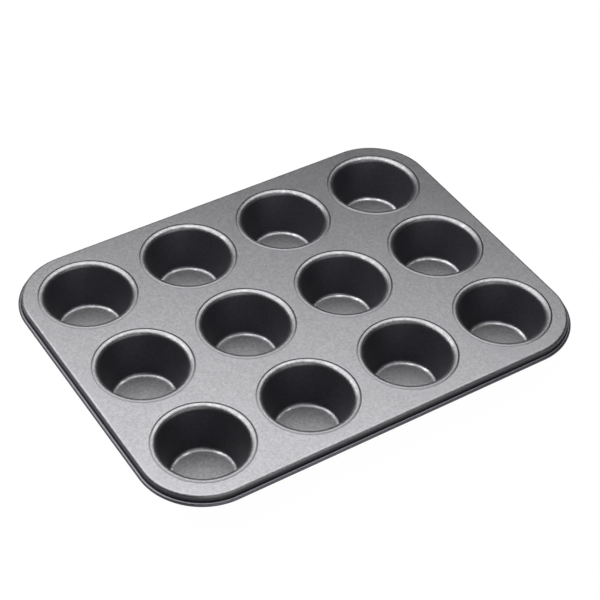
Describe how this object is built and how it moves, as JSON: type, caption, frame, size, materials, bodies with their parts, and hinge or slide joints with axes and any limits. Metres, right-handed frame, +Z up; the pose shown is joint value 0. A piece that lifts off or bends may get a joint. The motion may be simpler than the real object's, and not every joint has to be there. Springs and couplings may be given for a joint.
{
  "type": "muffin tin",
  "caption": "Rectangular baking tin: round tapered cups set in a flat deck with rounded corners, a turned-down skirt and a rolled, wired edge.",
  "frame": {"origin": "on the ground, under the middle of the tin, level with the undersides of the cups", "axes": "+X along the four-cup direction, +Y towards the back row of cups, +Z up, out of the cups' mouths"},
  "size_m": [0.3486, 0.2656, 0.0355],
  "materials": {
    "coated_steel": "satin dark grey non-stick coating on sheet steel",
    "wire_steel": "plain drawn steel wire"
  },
  "bodies": {
    "root": {"deck": "coated_steel", "cup_r1_c1": "coated_steel", "cup_r1_c2": "coated_steel", "cup_r1_c3": "coated_steel", "cup_r1_c4": "coated_steel", "cup_r2_c1": "coated_steel", "cup_r2_c2": "coated_steel", "cup_r2_c3": "coated_steel", "cup_r2_c4": "coated_steel", "cup_r3_c1": "coated_steel", "cup_r3_c2": "coated_steel", "cup_r3_c3": "coated_steel", "cup_r3_c4": "coated_steel", "rim_wire": "wire_steel"}
  },
  "joints": []
}
